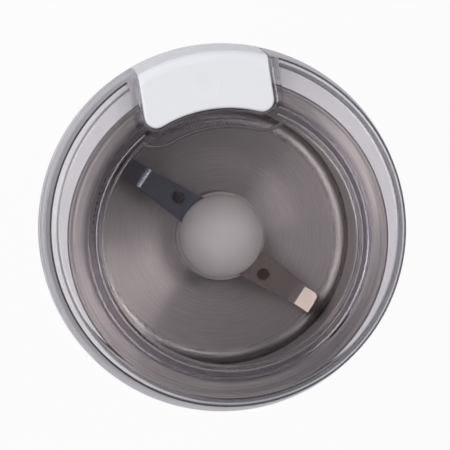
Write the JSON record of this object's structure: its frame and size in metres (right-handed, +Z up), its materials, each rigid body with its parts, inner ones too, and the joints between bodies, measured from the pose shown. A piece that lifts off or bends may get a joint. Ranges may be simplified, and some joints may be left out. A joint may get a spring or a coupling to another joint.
{
  "type": "electric spice grinder",
  "caption": "Round hand-high electric spice grinder: steel bowl with a bent two-arm blade, clear lift-off lid and a press button set flush in the lid's edge.",
  "frame": {"origin": "on the table under the housing's axis", "axes": "+Z up along the housing's axis, +Y towards the press button, +X to the right with the button away from the viewer"},
  "size_m": [0.095, 0.095, 0.172],
  "materials": {
    "housing_white": "satin moulded, fine gloss",
    "lid_clear": "clear, slightly smoky moulded plastic",
    "button_white": "satin moulded",
    "bowl_steel": "spun, brushed in circles",
    "blade_steel": "ground and polished",
    "cap_satin": "warm grey satin",
    "hub_grey": "moulded",
    "rubber_black": "matte",
    "rubber_grey": "matte",
    "inner_plastic": "moulded, glass filled",
    "cover_plastic": "moulded",
    "screw_steel": "zinc plated",
    "spring_steel": "drawn wire",
    "shaft_steel": "ground",
    "bearing_bronze": "sintered, oiled",
    "motor_plate": "zinc plated sheet",
    "laminations": "stacked sheet",
    "copper_wire": "enamelled copper wire",
    "commutator_copper": "turned copper",
    "carbon": "pressed carbon",
    "brass": "pressed sheet",
    "switch_black": "moulded",
    "plunger_red": "moulded",
    "fan_plastic": "moulded",
    "capacitor_yellow": "cast box",
    "terminal_white": "moulded"
  },
  "bodies": {
    "base": {"outer_housing": "housing_white", "base_cover": "cover_plastic", "base_screws": "screw_steel", "rubber_feet": "rubber_grey", "cord_bushing": "rubber_grey", "bowl": "bowl_steel", "bowl_seal": "rubber_black", "bowl_bush": "hub_grey", "bowl_carrier": "inner_plastic", "carrier_screws": "screw_steel", "button_spring": "spring_steel", "start_switch": "switch_black", "interlock_spring": "spring_steel", "interlock_switch": "switch_black", "shaft_seal": "rubber_black", "upper_bearing": "bearing_bronze", "lower_bearing": "bearing_bronze", "lower_bracket": "motor_plate", "stator_core": "laminations", "field_coils": "copper_wire", "carbon_brushes": "carbon", "brush_holders": "brass", "brush_springs": "spring_steel", "motor_screws": "screw_steel", "motor_spacers": "screw_steel", "suppressor_capacitor": "capacitor_yellow", "terminal_block": "terminal_white"},
    "lid": {"lid": "lid_clear"},
    "button": {"start_button": "button_white", "push_rod": "fan_plastic"},
    "plunger": {"switch_plunger": "plunger_red"},
    "pin": {"interlock_pin": "fan_plastic"},
    "rotor": {"blade": "blade_steel", "blade_cap": "cap_satin", "blade_hub": "hub_grey", "drive_shaft": "shaft_steel", "rotor_core": "laminations", "rotor_windings": "copper_wire", "commutator": "commutator_copper", "cooling_fan": "fan_plastic"}
  },
  "joints": [
    {"name": "lid_lift", "type": "slide", "parent": "base", "child": "lid", "axis": [0, 0, 1], "range_m": [0, 0.045]},
    {"name": "button_press", "type": "slide", "parent": "base", "child": "button", "axis": [0, 0, -1], "range_m": [0, 0.003], "stiffness_N_per_m": 900, "springref_m": -0.003, "deforming": ["button_spring"]},
    {"name": "plunger_travel", "type": "slide", "parent": "base", "child": "plunger", "axis": [0, 0, -1], "range_m": [0, 0.003]},
    {"name": "pin_travel", "type": "slide", "parent": "base", "child": "pin", "axis": [0, 0, 1], "range_m": [0, 0.0015], "deforming": ["interlock_spring"]},
    {"name": "blade_spin", "type": "hinge", "parent": "base", "child": "rotor", "pos_m": [0, -0.0024, 0.13], "axis": [0, 0, 1], "continuous": true}
  ],
  "couplings": [
    {"joint": "plunger_travel", "follows": "button_press", "ratio": 1},
    {"joint": "pin_travel", "follows": "lid_lift", "ratio": 0.033333}
  ]
}
